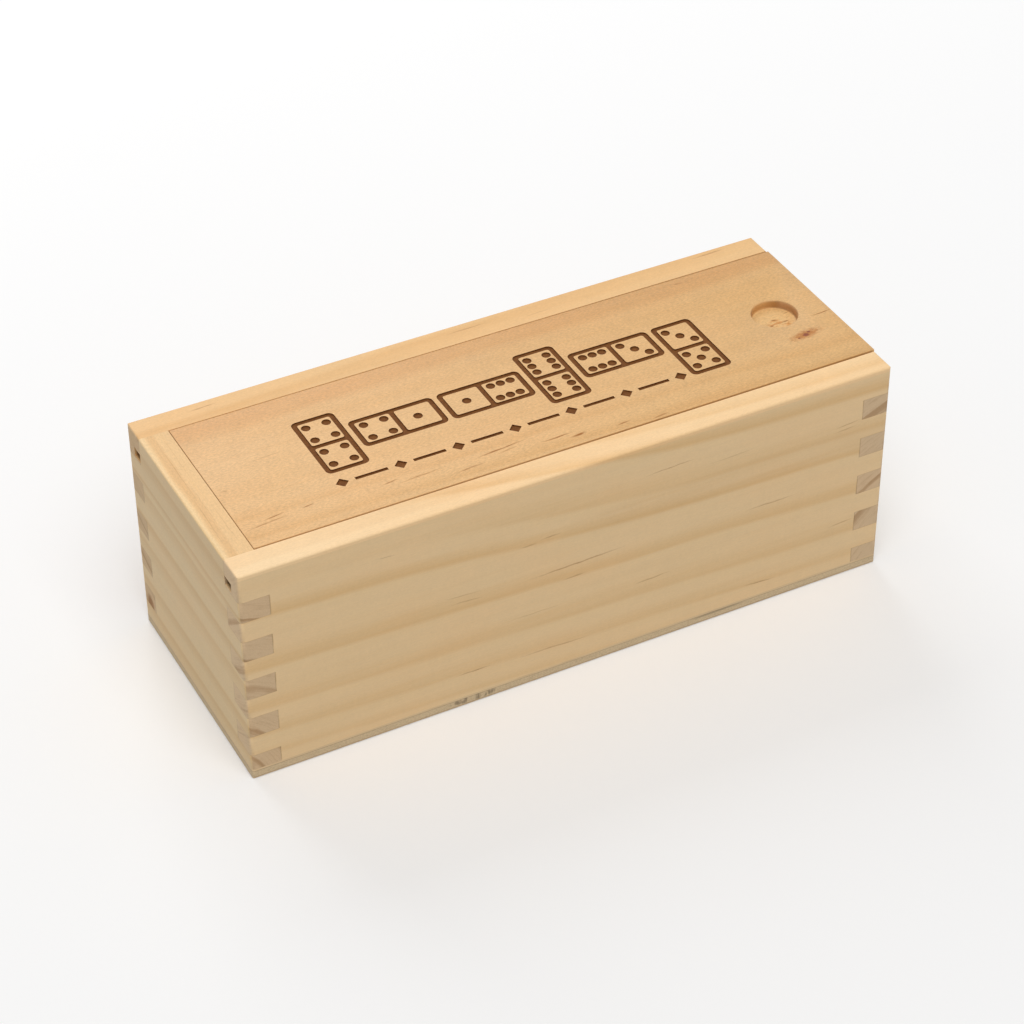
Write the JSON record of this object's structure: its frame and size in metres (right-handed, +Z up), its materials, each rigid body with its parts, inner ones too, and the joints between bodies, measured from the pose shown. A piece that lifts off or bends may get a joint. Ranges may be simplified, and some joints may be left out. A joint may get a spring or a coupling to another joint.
{
  "type": "domino storage box",
  "caption": "Oblong wooden box with box-jointed corners, a plywood bottom and a rebated lid that slides out at one end, for keeping a domino set.",
  "frame": {"origin": "middle of the underside, on the surface that the box stands on", "axes": "+X along the box towards the open end, where the lid slides out; +Y towards the back wall; +Z up"},
  "size_m": [0.1563, 0.0596, 0.055],
  "materials": {
    "side_pine": "sanded bare pine, satin",
    "end_pine": "sanded bare pine, satin",
    "plywood": "sanded thin plywood with bare edges",
    "lid_pine": "sanded bare pine, burnt engraving"
  },
  "bodies": {
    "box": {"front_wall": "side_pine", "back_wall": "side_pine", "closed_end_wall": "end_pine", "open_end_wall": "end_pine", "bottom_panel": "plywood"},
    "lid": {"sliding_lid": "lid_pine"}
  },
  "joints": [
    {"name": "lid_slide", "type": "slide", "parent": "box", "child": "lid", "axis": [1, 0, 0], "range_m": [0, 0.155]}
  ]
}
